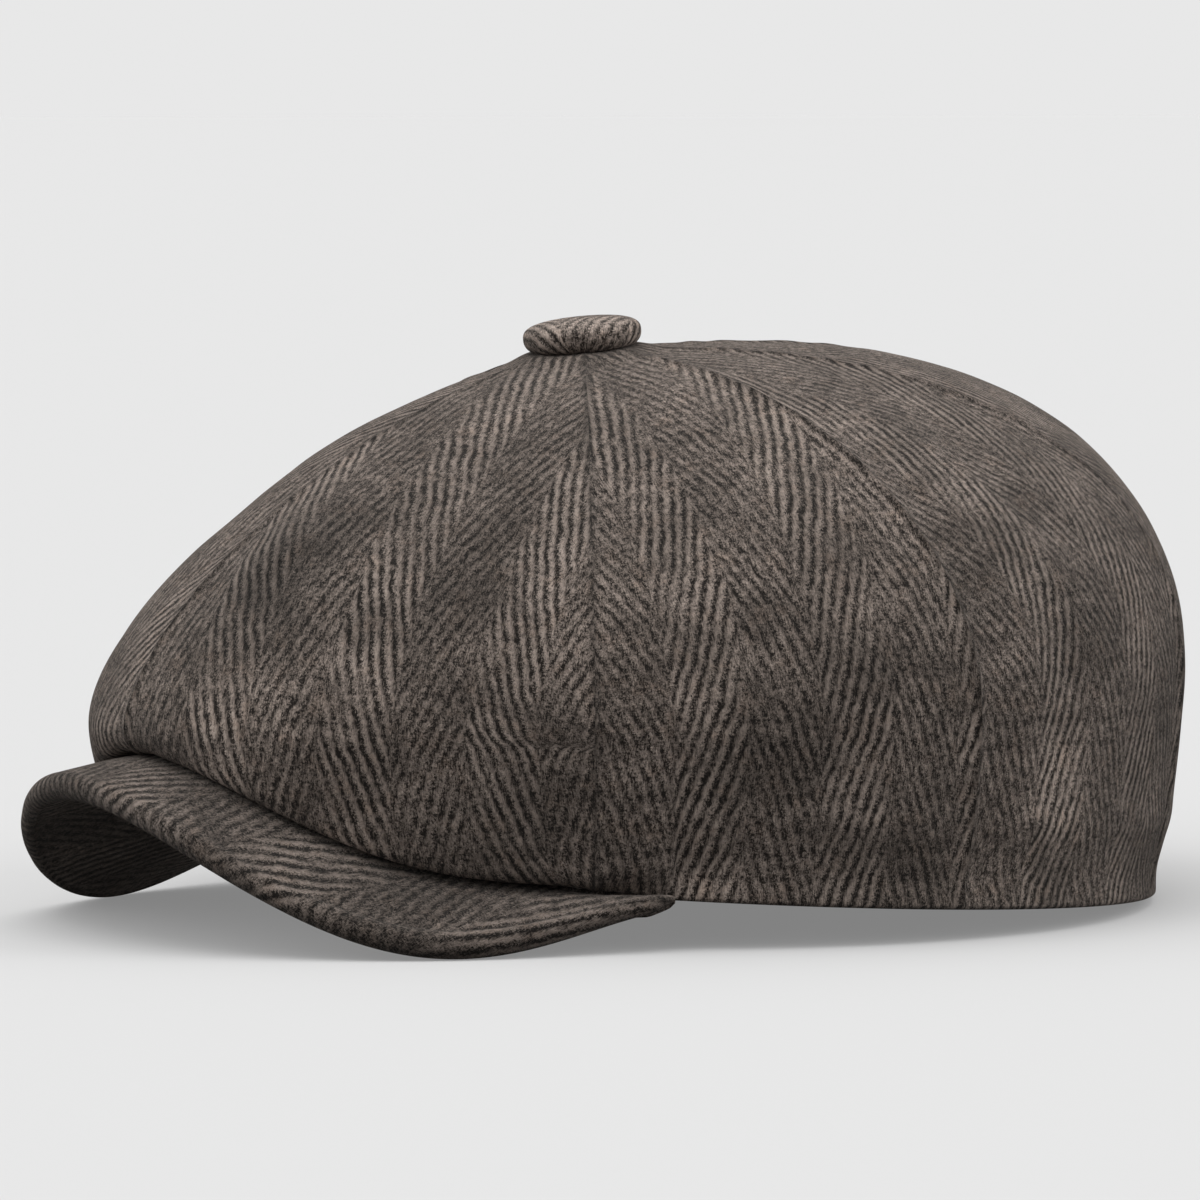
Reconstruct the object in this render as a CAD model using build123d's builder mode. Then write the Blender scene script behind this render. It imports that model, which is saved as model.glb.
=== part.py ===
"""Eight-panel newsboy cap in wool herringbone, at rest on its visor and the back of its hem.

Row frame: +Z up, the visor points along -Y and +X is the wearer's left. The origin is the
middle of the cap's box, on the surface it lies on. Every cloth piece is lofted through upright
sections that turn about the button's axis: angle 0 is the front, 180 the back.
"""
import os
from math import asin, ceil, cos, pi, radians, sin, sqrt

from build123d import *

os.makedirs("parts", exist_ok=True)

# Head opening: an ellipse in plan whose centre lies behind the button's axis
hem_half_length = 93.0
hem_half_width = 92.0
hem_centre_back = 24.7
hem_tilt = 12.0          # how much higher the hem would be at the front than at the back
hem_run = 6.0            # upright strip of cloth above the hem, where there is no visor

# Crown: the fullest line, the top, and how square the cloth is between them
full_half_length = 98.0
full_half_width = 96.0
full_centre_back = 26.3
prow = 32.0              # extra reach of the front, over the visor
prow_power = 4
full_height_back = 44.2
full_height_front = 38.9
crown_height = 109.0
squareness_front = 1.55  # superellipse exponents of the upper profile
squareness_back = 4.15
squareness_blend = 0.17
squareness_least = 0.005  # keeps the blend smooth across the centre of the back
crown_lean = 0.04        # slope of the top, up towards the back
roll_front = 1.7         # superellipse exponents of the lower profile
roll_back = 1.3
foot_share = 0.91        # how much of the front's overhang lies down on the visor
fold_power = 0.25
foot_gap = 0.7           # between the crown's foot and the visor

# Cloth
crown_cloth = 1.8
lining_gap = 0.3
lining_cloth = 0.6
seam_gap = 0.3
seam_angles = (0, 58, 105, 144, 180)
gore_names = ("front", "side", "rear", "back")
apex_hole = 4.0

# Visor
visor_half_angle = 68.7
visor_depth = 48.5
visor_end_depth = 3.0
visor_outline = (1.9, 1.56)   # exponents of the outer edge's plan
visor_tip_height = 31.6
visor_tip_power = 2.37
visor_dip = 13.4              # how far the lobes hang below the line from tip to temple
visor_camber = 1.3
visor_rise = 23.5             # how far the middle of the hem is lifted by the visor
visor_rise_power = 3.1
visor_thickness = 5.4
visor_end_thickness = 2.7
top_cover_layer = (0.0, 0.24)       # each layer's depth, as shares of the thickness
padding_layer = (0.29, 0.46)
board_layer = (0.51, 0.71)
under_cover_layer = (0.76, 1.0)
visor_sections = 15

# Hem tape and sweatband, inside the opening
tape_inset, tape_cloth, tape_height, tape_lift = 3.1, 0.8, 15.0, 1.0
band_inset, band_cloth, band_height, band_lift = 4.2, 1.3, 28.0, 1.2
elastic_cloth = 1.8
elastic_half_angle = 36
label_width, label_height, label_cloth = 24.0, 34.0, 0.4
label_lift, label_gap = 36.0, 5.5

# Button
button_radius = 11.6
button_height = 6.1
button_edge = 2.7        # height of its widest line
button_squareness = 3.0
button_tilt = 6.5
button_lift = 0.2
button_cloth, button_lip = 1.2, 6.0
shell_metal, shell_lip = 0.5, 7.5
back_plate_radius, back_plate_thickness = 8.2, 1.0
shank_radius = 1.3
facing_radius, facing_cloth, facing_depth = 14.0, 0.6, 6.2
anchor_radius, anchor_thickness = 5.5, 1.0


def spread(start, end, count):
    return [start + (end - start) * step / (count - 1) for step in range(count)]


def ellipse_reach(angle, half_length, half_width, centre_back):
    """Distance from the button's axis to an ellipse, at an angle in degrees."""
    along, across = cos(radians(angle)), sin(radians(angle))
    square = (along / half_length) ** 2 + (across / half_width) ** 2
    linear = along * centre_back / half_length ** 2
    constant = (centre_back / half_length) ** 2 - 1
    return (sqrt(linear ** 2 - square * constant) - linear) / square


def hem_reach(angle):
    return ellipse_reach(angle, hem_half_length, hem_half_width, hem_centre_back)


def full_reach(angle):
    reach = ellipse_reach(angle, full_half_length, full_half_width, full_centre_back)
    return reach + prow * max(0.0, cos(radians(angle))) ** prow_power


def visor_share(angle):
    """0 at the middle of the visor, 1 at its ends and beyond them."""
    return min(1.0, abs(angle) / visor_half_angle)


def fall(angle, power):
    """1 at the middle of the visor, falling to 0 at its ends."""
    return max(0.0, cos(pi / 2 * visor_share(angle))) ** power


def hem_base(angle):
    along = hem_half_length + hem_centre_back + hem_reach(angle) * cos(radians(angle))
    return hem_tilt * along / (2 * hem_half_length)


def hem_height(angle):
    return hem_base(angle) + visor_rise * fall(angle, visor_rise_power)


def rim_reach(angle):
    plan, round_off = visor_outline
    share = (1 - visor_share(angle) ** plan) ** round_off
    return hem_reach(angle) + visor_end_depth + (visor_depth - visor_end_depth) * share


def rim_height(angle):
    end = hem_base(visor_half_angle)
    dip = visor_dip * sin(pi * visor_share(angle)) ** 2
    return end + (visor_tip_height - end) * fall(angle, visor_tip_power) - dip


def visor_top(angle, reach):
    """Height of the visor's upper face."""
    inner, outer = hem_reach(angle), rim_reach(angle)
    share = min(1.0, max(0.0, (reach - inner) / (outer - inner)))
    straight = hem_height(angle) * (1 - share) + rim_height(angle) * share
    return straight + visor_camber * 4 * share * (1 - share)


def visor_thickness_at(angle):
    return visor_thickness + (visor_end_thickness - visor_thickness) * visor_share(angle) ** 6


# The box is centred between the visor's tip and the fullest line at the back
axis_y = (rim_reach(0) - full_reach(180)) / 2

# The button leans forward with the crown's top
apex = Vector(0, axis_y, crown_height + button_lift)
button_up = Vector(0, -sin(radians(button_tilt)), cos(radians(button_tilt)))
button_axis = Axis(apex, button_up)
button_plane = Plane(apex, x_dir=(1, 0, 0), z_dir=button_up)
button_section = Plane(apex, x_dir=(1, 0, 0), z_dir=Vector(1, 0, 0).cross(button_up))


def section_plane(angle, shift=0.0):
    """Upright plane through the button's axis: local x runs outwards, local y runs up."""
    outwards = Vector(sin(radians(angle)), -cos(radians(angle)), 0)
    sideways = Vector(cos(radians(angle)), sin(radians(angle)), 0)
    return Plane(Vector(0, axis_y, 0) + sideways * shift, x_dir=outwards, z_dir=-sideways)


def crown_path(angle, inset):
    """Points (reach, height) down the cloth, `inset` inside its outer face: wall, then hem end."""
    front_share = 0.5 + 0.5 * cos(radians(angle))
    blend = (squareness_least + (1 - squareness_least) * front_share) ** squareness_blend
    square = squareness_back + (squareness_front - squareness_back) * blend
    full = full_height_back + (full_height_front - full_height_back) * front_share
    fold = fall(angle, fold_power)
    roll = roll_back + (roll_front - roll_back) * fold
    reach, top = full_reach(angle) - inset, crown_height - inset
    outer_foot = hem_reach(angle) + (full_reach(angle) - hem_reach(angle)) * foot_share * fold
    foot_r = outer_foot - inset
    on_visor = visor_top(angle, outer_foot) + foot_gap + inset
    foot_z = on_visor * fold + (hem_height(angle) + hem_run) * (1 - fold)
    hem_end = (hem_reach(angle) - inset * (1 - fold), hem_height(angle) + (foot_gap + inset) * fold)
    wall = []
    start = asin((apex_hole / reach) ** (square / 2))
    for turn in spread(start, pi / 2, 8):
        r = reach * sin(turn) ** (2 / square)
        lean = crown_lean * cos(radians(angle)) * r * (1 - (r / reach) ** 2)
        wall.append((r, full + (top - full) * max(0.0, cos(turn)) ** (2 / square) - lean))
    for turn in spread(pi / 8, pi / 2, 4):
        r = foot_r + (reach - foot_r) * max(0.0, cos(turn)) ** (2 / roll)
        wall.append((r, full - (full - foot_z) * sin(turn) ** (2 / roll)))
    return wall, hem_end


def shell_gore(start, end, near, far):
    """One panel between two seams, from depth `near` to depth `far` inside the outer face."""
    angles = spread(start, end, 6 if min(abs(start), abs(end)) < visor_half_angle else 3)
    with BuildPart() as gore:
        for index, angle in enumerate(angles):
            shift = seam_gap / 2 * (1 - 2 * index / (len(angles) - 1))
            outer, outer_hem = crown_path(angle, near)
            inner, inner_hem = crown_path(angle, far)
            with BuildSketch(section_plane(angle, shift)):
                with BuildLine():
                    Spline(*outer)
                    Polyline(outer[-1], outer_hem, inner_hem, inner[-1])
                    Spline(*reversed(inner))
                    Line(inner[0], outer[0])
                make_face()
        loft()
    return gore.part


def keep(part, name):
    part.label = name
    export_step(part, f"parts/{name}.step")


def keep_pair(left_part, name):
    """A piece on the wearer's left, and its mirror image on the right."""
    keep(left_part, f"{name}_left")
    with BuildPart() as right:
        add(mirror(left_part, about=Plane.YZ, mode=Mode.PRIVATE))
    keep(right.part, f"{name}_right")


def visor_layer(layer, edge_inset):
    """A flat sheet in the visor, `edge_inset` short of the middle of its rounded edge."""
    with BuildPart() as sheet:
        for angle in spread(-visor_half_angle, visor_half_angle, visor_sections):
            thick = visor_thickness_at(angle)
            inner = hem_reach(angle)
            outer = rim_reach(angle) - thick / 2 - edge_inset
            middle = (inner + outer) / 2
            upper = [(r, visor_top(angle, r) - layer[0] * thick) for r in (inner, middle, outer)]
            lower = [(r, visor_top(angle, r) - layer[1] * thick) for r in (outer, middle, inner)]
            with BuildSketch(section_plane(angle)):
                with BuildLine():
                    Spline(*upper)
                    Line(upper[-1], lower[0])
                    Spline(*lower)
                    Line(lower[-1], upper[0])
                make_face()
        loft()
    return sheet.part


def visor_cover():
    """The top cloth: it lies over the visor and turns down and under at the rounded edge."""
    with BuildPart() as cover:
        for angle in spread(-visor_half_angle, visor_half_angle, visor_sections):
            thick = visor_thickness_at(angle)
            cloth = top_cover_layer[1] * thick
            inner, edge = hem_reach(angle), rim_reach(angle)
            turn = edge - thick / 2
            middle = (inner + turn) / 2
            upper = [(r, visor_top(angle, r)) for r in (inner, middle, turn)]
            lower = [(r, z - cloth) for r, z in reversed(upper)]
            crest = upper[-1][1]
            with BuildSketch(section_plane(angle)):
                with BuildLine():
                    Spline(*upper)
                    ThreePointArc(upper[-1], (edge, crest - thick / 2), (turn, crest - thick))
                    Line((turn, crest - thick), (turn, crest - thick + cloth))
                    ThreePointArc((turn, crest - thick + cloth), (edge - cloth, crest - thick / 2), lower[0])
                    Spline(*lower)
                    Line(lower[-1], upper[0])
                make_face()
        loft()
    return cover.part


def hem_strip(start, end, inset, cloth, lift, height):
    """An upright strip of cloth that follows the hem, inside it, in spans of at most 60 degrees."""
    spans = ceil((end - start) / 60)
    seams = spread(start, end, spans + 1)
    with BuildPart() as strip:
        for span_start, span_end in zip(seams[:-1], seams[1:]):
            for angle in spread(span_start, span_end, 5):
                outer = hem_reach(angle) - inset
                low = hem_height(angle) + lift
                with BuildSketch(section_plane(angle)):
                    with BuildLine():
                        Polyline((outer, low), (outer, low + height), (outer - cloth, low + height),
                                 (outer - cloth, low), close=True)
                    make_face()
            loft()
    return strip.part


def button_outline(inset):
    """The button's half outline: its flat foot's end, its widest point, and its domed top."""
    radius, top = button_radius - inset, button_height - inset
    dome = []
    for turn in spread(0, pi / 2, 7):
        rise = sin(turn) ** (2 / button_squareness)
        dome.append((radius * max(0.0, cos(turn)) ** (2 / button_squareness),
                     button_edge + (top - button_edge) * rise))
    return (radius - button_edge + inset, inset), dome


def button_layer(near, far, lip_radius):
    """A cup in the button, from depth `near` to `far`, turned in under it as far as the lip."""
    foot, outer = button_outline(near)
    inner_foot, inner = button_outline(far)
    with BuildPart() as cup:
        with BuildSketch(button_section):
            with BuildLine():
                Line((lip_radius, near), foot)
                RadiusArc(foot, outer[0], -(button_edge - near))
                Spline(*outer)
                Line(outer[-1], inner[-1])
                Spline(*reversed(inner))
                RadiusArc(inner[0], inner_foot, button_edge - far)
                Polyline(inner_foot, (lip_radius, far), (lip_radius, near))
            make_face()
        revolve(axis=button_axis)
    return cup.part


def button_disc(radius, low, thickness, hole_radius=0.0):
    """A round plate across the button's axis, `low` above the button's foot."""
    with BuildPart() as disc:
        with BuildSketch(button_plane.offset(low)):
            Circle(radius)
            if hole_radius:
                Circle(hole_radius, mode=Mode.SUBTRACT)
        extrude(amount=thickness)
    return disc.part


# Crown panels and their lining, left and right of the front seam
lining_near = crown_cloth + lining_gap
for name, start, end in zip(gore_names, seam_angles[:-1], seam_angles[1:]):
    keep_pair(shell_gore(start, end, 0.0, crown_cloth), f"crown_gore_{name}")
    keep_pair(shell_gore(start, end, lining_near, lining_near + lining_cloth), f"lining_gore_{name}")

# Visor
keep(visor_cover(), "visor_top_cover")
keep(visor_layer(padding_layer, 0.0), "visor_padding")
keep(visor_layer(board_layer, 0.0), "visor_board")
keep(visor_layer(under_cover_layer, seam_gap), "visor_under_cover")

# Hem tape, sweatband and the elastic that joins its ends at the back
keep_pair(hem_strip(0.1, 179.9, tape_inset, tape_cloth, tape_lift, tape_height), "hem_tape")
with BuildPart() as sweatband:
    add(hem_strip(0, 180 - elastic_half_angle - 0.2, band_inset, band_cloth, band_lift, band_height))
    mirror(about=Plane.YZ)
keep(sweatband.part, "sweatband")
keep(hem_strip(180 - elastic_half_angle, 180 + elastic_half_angle, band_inset, elastic_cloth, band_lift,
               band_height), "sweatband_elastic")

# Care label, blank, sewn to the lining above the elastic
back_wall = axis_y + full_reach(180) - crown_cloth - lining_gap - lining_cloth - label_gap
with BuildPart() as care_label:
    with BuildSketch(Plane.XZ.offset(-back_wall)):
        with Locations((0, label_lift + label_height / 2)):
            RectangleRounded(label_width, label_height, 1.5)
    extrude(amount=label_cloth)
keep(care_label.part, "care_label")

# Covered button, its shank through the apex, and what holds it inside
keep(button_layer(0.0, button_cloth, button_lip), "button_cover")
keep(button_layer(button_cloth, button_cloth + shell_metal, shell_lip), "button_shell")
plate_low = button_cloth + shell_metal
keep(button_disc(back_plate_radius, plate_low, back_plate_thickness), "button_back_plate")
keep(button_disc(facing_radius, -facing_depth, facing_cloth, shank_radius + 0.3), "apex_facing")
anchor_low = -facing_depth - seam_gap - anchor_thickness
keep(button_disc(anchor_radius, anchor_low, anchor_thickness), "button_anchor")
shank_low = anchor_low + anchor_thickness
keep(button_disc(shank_radius, shank_low, plate_low - shank_low), "button_shank")
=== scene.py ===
"""Newsboy cap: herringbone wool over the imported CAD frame.

Lengths below are in millimetres unless a name says otherwise, and angles in degrees turn about
the button's axis: 0 is the front of the cap, 90 the wearer's left, 180 the back.
"""

import bmesh
import bpy
import numpy as np
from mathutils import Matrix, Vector


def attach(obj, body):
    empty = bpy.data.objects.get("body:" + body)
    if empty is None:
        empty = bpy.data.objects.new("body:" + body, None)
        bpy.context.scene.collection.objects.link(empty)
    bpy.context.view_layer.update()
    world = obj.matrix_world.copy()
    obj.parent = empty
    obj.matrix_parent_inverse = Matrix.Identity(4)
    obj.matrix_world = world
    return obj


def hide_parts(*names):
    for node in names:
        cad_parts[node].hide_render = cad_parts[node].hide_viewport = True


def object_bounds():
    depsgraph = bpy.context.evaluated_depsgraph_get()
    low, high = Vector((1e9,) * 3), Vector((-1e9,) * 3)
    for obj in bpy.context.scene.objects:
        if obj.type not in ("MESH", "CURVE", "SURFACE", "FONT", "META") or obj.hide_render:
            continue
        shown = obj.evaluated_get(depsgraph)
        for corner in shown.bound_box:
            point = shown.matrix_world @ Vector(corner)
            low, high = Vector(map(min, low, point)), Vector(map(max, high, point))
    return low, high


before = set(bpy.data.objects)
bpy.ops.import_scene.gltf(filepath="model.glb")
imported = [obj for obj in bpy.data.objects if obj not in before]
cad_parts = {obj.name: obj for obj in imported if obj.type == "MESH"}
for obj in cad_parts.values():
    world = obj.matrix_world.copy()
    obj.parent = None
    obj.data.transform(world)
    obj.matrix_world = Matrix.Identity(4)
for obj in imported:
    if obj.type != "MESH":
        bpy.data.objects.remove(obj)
cad_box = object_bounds()
rng = np.random.default_rng(11)
MM = 0.001

# The CAD model's driving dimensions
hem_half_length, hem_half_width, hem_centre_back = 93.0, 92.0, 24.7
hem_tilt, hem_run = 12.0, 6.0
full_half_length, full_half_width, full_centre_back = 98.0, 96.0, 26.3
prow, prow_power = 32.0, 4
full_height_back, full_height_front = 44.2, 38.9
crown_height, crown_lean = 109.0, 0.04
squareness_front, squareness_back, squareness_blend, squareness_least = 1.55, 4.15, 0.17, 0.005
roll_front, roll_back = 1.7, 1.3
foot_share, fold_power, foot_gap = 0.91, 0.25, 0.7
crown_cloth = 1.8
seam_angles = (0, 58, 105, 144, 180)
gore_names = ("front", "side", "rear", "back")
apex_hole = 4.0
visor_half_angle, visor_depth, visor_end_depth = 68.7, 48.5, 3.0
visor_outline = (1.9, 1.56)
visor_tip_height, visor_tip_power = 31.6, 2.37
visor_dip, visor_camber = 13.4, 1.3
visor_rise, visor_rise_power = 23.5, 3.1
visor_thickness, visor_end_thickness = 5.4, 2.7
band_inset, band_cloth, band_lift, band_height = 4.2, 1.3, 1.2, 28.0
elastic_cloth = 1.8
elastic_half_angle = 36
button_radius, button_height, button_edge = 11.6, 6.1, 2.7
button_squareness, button_tilt, button_lift = 3.0, 6.5, 0.2
facing_radius, facing_depth = 14.0, 6.2
label_width, label_height, label_lift, label_gap = 24.0, 34.0, 36.0, 5.5
tape_inset, tape_cloth, tape_lift, tape_height = 3.1, 0.8, 1.0, 15.0

# The cloth
stripe_period = 2.2
column_width = 14.0
stripe_slant = 18.5
stripe_contrast, stripe_middle = 0.44, 0.13     # brightness of the stripes, and its middle
fibre_contrast, fluff_contrast = 2.5, 2.3
WOOL_DARK, WOOL_LIGHT = (20, 15, 12), (160, 147, 138)
PATCH_DARK, PATCH_LIGHT = (0.68, 0.67, 0.66, 1), (1.26, 1.25, 1.24, 1)
BROWN_TINT = (1.06, 0.96, 0.88, 1)
tape_line = 15.0          # height above the hem where the tape inside shows as a dent


def cosd(angle):
    return np.cos(np.radians(angle))


def sind(angle):
    return np.sin(np.radians(angle))


def ellipse_reach(angle, half_length, half_width, centre_back):
    along, across = cosd(angle), sind(angle)
    square = (along / half_length) ** 2 + (across / half_width) ** 2
    linear = along * centre_back / half_length ** 2
    constant = (centre_back / half_length) ** 2 - 1
    return (np.sqrt(linear ** 2 - square * constant) - linear) / square


def hem_reach(angle):
    return ellipse_reach(angle, hem_half_length, hem_half_width, hem_centre_back)


def full_reach(angle):
    reach = ellipse_reach(angle, full_half_length, full_half_width, full_centre_back)
    return reach + prow * np.maximum(0, cosd(angle)) ** prow_power


def turned(angle):
    """The same angle between -180 and 180."""
    return (np.asarray(angle, float) + 180) % 360 - 180


def visor_share(angle):
    return np.minimum(1, np.abs(turned(angle)) / visor_half_angle)


def fall(angle, power):
    return np.maximum(0, np.cos(np.pi / 2 * visor_share(angle))) ** power


def hem_base(angle):
    along = hem_half_length + hem_centre_back + hem_reach(angle) * cosd(angle)
    return hem_tilt * along / (2 * hem_half_length)


def hem_height(angle):
    return hem_base(angle) + visor_rise * fall(angle, visor_rise_power)


def rim_reach(angle):
    plan, round_off = visor_outline
    share = (1 - visor_share(angle) ** plan) ** round_off
    return hem_reach(angle) + visor_end_depth + (visor_depth - visor_end_depth) * share


def rim_height(angle):
    end = hem_base(visor_half_angle)
    dip = visor_dip * np.sin(np.pi * visor_share(angle)) ** 2
    return end + (visor_tip_height - end) * fall(angle, visor_tip_power) - dip


def visor_top(angle, reach):
    inner, outer = hem_reach(angle), rim_reach(angle)
    share = np.clip((reach - inner) / (outer - inner), 0, 1)
    straight = hem_height(angle) * (1 - share) + rim_height(angle) * share
    return straight + visor_camber * 4 * share * (1 - share)


def visor_thickness_at(angle):
    return visor_thickness + (visor_end_thickness - visor_thickness) * visor_share(angle) ** 6


axis_y = (rim_reach(0) - full_reach(180)) / 2


def place(angle, reach, height):
    """Points in the row frame, in millimetres, from angle, reach and height."""
    angle, reach, height = np.broadcast_arrays(angle, reach, height)
    return np.stack([reach * sind(angle), axis_y - reach * cosd(angle), height], -1)


UPPER_POINTS, LOWER_POINTS, FOOT_POINTS = 160, 60, 30


def crown_path(angle, inset):
    """A fine path (reach, height) down the cloth at one angle, from the button to the hem."""
    front_share = 0.5 + 0.5 * cosd(angle)
    blend = (squareness_least + (1 - squareness_least) * front_share) ** squareness_blend
    square = squareness_back + (squareness_front - squareness_back) * blend
    full = full_height_back + (full_height_front - full_height_back) * front_share
    fold = fall(angle, fold_power)
    roll = roll_back + (roll_front - roll_back) * fold
    reach, top = full_reach(angle) - inset, crown_height - inset
    outer_foot = hem_reach(angle) + (full_reach(angle) - hem_reach(angle)) * foot_share * fold
    foot_r = outer_foot - inset
    on_visor = visor_top(angle, outer_foot) + foot_gap + inset
    foot_z = on_visor * fold + (hem_height(angle) + hem_run) * (1 - fold)
    end_r = hem_reach(angle) - inset * (1 - fold)
    end_z = hem_height(angle) + (foot_gap + inset) * fold
    turn = np.linspace(np.arcsin((apex_hole / reach) ** (square / 2)), np.pi / 2, UPPER_POINTS)
    r = reach * np.sin(turn) ** (2 / square)
    lean = crown_lean * cosd(angle) * r * (1 - (r / reach) ** 2)
    z = full + (top - full) * np.maximum(0, np.cos(turn)) ** (2 / square) - lean
    turn = np.linspace(0, np.pi / 2, LOWER_POINTS + 1)[1:]
    low_r = foot_r + (reach - foot_r) * np.maximum(0, np.cos(turn)) ** (2 / roll)
    low_z = full - (full - foot_z) * np.sin(turn) ** (2 / roll)
    run = np.linspace(0, 1, FOOT_POINTS + 1)[1:]
    r = np.concatenate([r, low_r, foot_r + (end_r - foot_r) * run])
    z = np.concatenate([z, low_z, foot_z + (end_z - foot_z) * run])
    return np.stack([r, z], -1)


def resample(path, count, cut_off=0.0):
    """The path with `count` points, evenly spaced along it, less a length cut off its end."""
    steps = np.linalg.norm(np.diff(path, axis=0), axis=1)
    along = np.concatenate([[0], np.cumsum(steps)])
    wanted = np.linspace(0, along[-1] - cut_off, count)
    return np.stack([np.interp(wanted, along, path[:, k]) for k in range(path.shape[1])], -1)


def soften(path, passes):
    """Rounds the path's corners, and leaves its ends where they are."""
    for _ in range(passes):
        path[1:-1] = path[1:-1] * 0.5 + (path[:-2] + path[2:]) * 0.25
    return path


# ---------------------------------------------------------------- noise and meshes

CELLS = 32
lattice = rng.random((CELLS, CELLS, CELLS))


def soft_noise(points, size):
    """Smooth noise from -1 to 1 whose features are about `size` millimetres across.

    Adding a length to the points, such as points + 90, gives a noise with other bumps.
    """
    scaled = points / size
    cell = np.floor(scaled).astype(int)
    part = scaled - cell
    part = part * part * (3 - 2 * part)
    total = np.zeros(points.shape[:-1])
    for dx in (0, 1):
        for dy in (0, 1):
            for dz in (0, 1):
                corner = (cell + (dx, dy, dz)) % CELLS
                weight = 1.0
                for axis, step in enumerate((dx, dy, dz)):
                    weight = weight * (part[..., axis] if step else 1 - part[..., axis])
                total = total + weight * lattice[corner[..., 0], corner[..., 1], corner[..., 2]]
    return total * 2 - 1


def grid_normals(points):
    down = np.gradient(points, axis=0)
    across = np.gradient(points, axis=1)
    normal = np.cross(across, down)
    return normal / np.maximum(np.linalg.norm(normal, axis=-1, keepdims=True), 1e-9)


def arc_along(points, axis):
    """Running length of each grid line along one axis."""
    steps = np.linalg.norm(np.diff(points, axis=axis), axis=-1)
    lead = np.zeros_like(np.take(steps, [0], axis=axis))
    return np.concatenate([lead, np.cumsum(steps, axis=axis)], axis=axis)


def grid_piece(node, points, uv, material, closed=False):
    """What is seen in place of a CAD node: a grid of points, with the flat cloth's coordinates.

    closed says that the grid goes all the way round the piece, so its ends are filled in.
    """
    rows, columns = points.shape[:2]
    index = np.arange(rows * columns).reshape(rows, columns)
    a, b, c, d = index[:-1, :-1], index[:-1, 1:], index[1:, 1:], index[1:, :-1]
    faces = np.stack([a, d, c, b], -1).reshape(-1, 4)
    mesh = bpy.data.meshes.new(f"{node}_detail")
    mesh.from_pydata((points.reshape(-1, 3) * MM).tolist(), [], faces.tolist())
    layer = mesh.uv_layers.new(name="cloth")
    corners = np.empty(len(mesh.loops), int)
    mesh.loops.foreach_get("vertex_index", corners)
    layer.data.foreach_set("uv", (uv[..., :2].reshape(-1, 2)[corners] * MM).ravel())
    for key, name in enumerate(("shade", "lean")[:uv.shape[-1] - 2], 2):
        mesh.attributes.new(name, "FLOAT", "POINT").data.foreach_set("value", uv[..., key].ravel())
    weld(mesh, closed)
    mesh.shade_smooth()
    mesh.materials.append(material)
    piece = bpy.data.objects.new(f"{node}_detail", mesh)
    bpy.context.collection.objects.link(piece)
    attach(piece, "root")
    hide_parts(node)
    return piece


def cloth_piece(node, points, uv, material, shade=None, lean=0.0, flat=None, layers=1):
    """A sheet of cloth.

    shade is painted light and shade, a factor on a wool's colour, and lean, 0 or 1, says which
    columns of it lie with the nap and get painted light.
    flat is the width and length of the cloth that it was cut from, and is not used; layers is 2
    where the grid goes round both its faces.
    """
    if shade is not None:
        uv = np.concatenate([uv, shade[..., None], np.full_like(uv[..., :1], lean)], -1)
    piece = grid_piece(node, points, uv, material, layers == 2)
    if flat is None:
        flat = np.ptp(uv[..., :2].reshape(-1, 2), axis=0)


def weld(mesh, both_faces):
    """Joins points that lie on one another, and closes the ends if both faces are there."""
    shape = bmesh.new()
    shape.from_mesh(mesh)
    bmesh.ops.remove_doubles(shape, verts=shape.verts, dist=1e-7)
    if both_faces:
        bmesh.ops.holes_fill(shape, edges=[edge for edge in shape.edges if edge.is_boundary])
    shape.to_mesh(mesh)
    shape.free()


# ---------------------------------------------------------------- materials

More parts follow.
